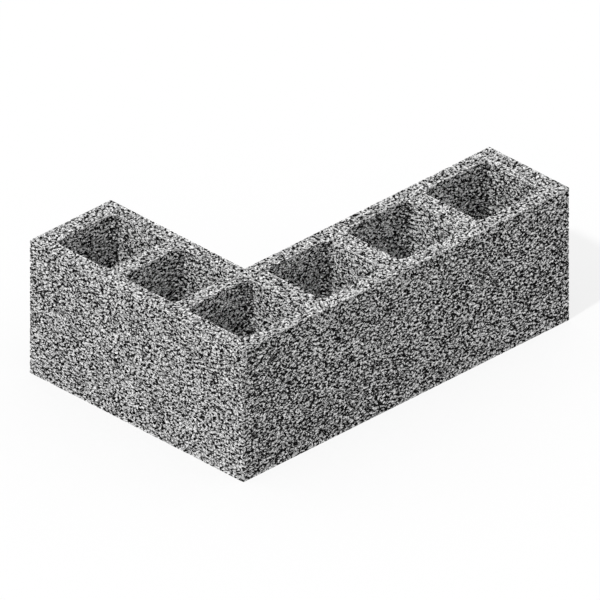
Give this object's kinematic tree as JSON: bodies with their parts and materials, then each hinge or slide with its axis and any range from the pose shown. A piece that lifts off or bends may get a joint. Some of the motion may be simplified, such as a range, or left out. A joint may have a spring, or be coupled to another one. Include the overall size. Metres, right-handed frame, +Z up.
{
  "type": "concrete block",
  "caption": "L-shaped hollow concrete block, cast in one piece, with tapered round-cornered cells running through both arms; it turns the corner of a block wall.",
  "frame": {"origin": "centre of the plan's bounding rectangle, on the bottom bed face", "axes": "+Z up, from bottom bed to top bed; +X along the long arm, away from the outer corner; +Y along the short arm, away from the outer corner"},
  "size_m": [0.6, 0.4, 0.2],
  "materials": {
    "concrete": "matte"
  },
  "bodies": {
    "root": {"block": "concrete"}
  },
  "joints": []
}
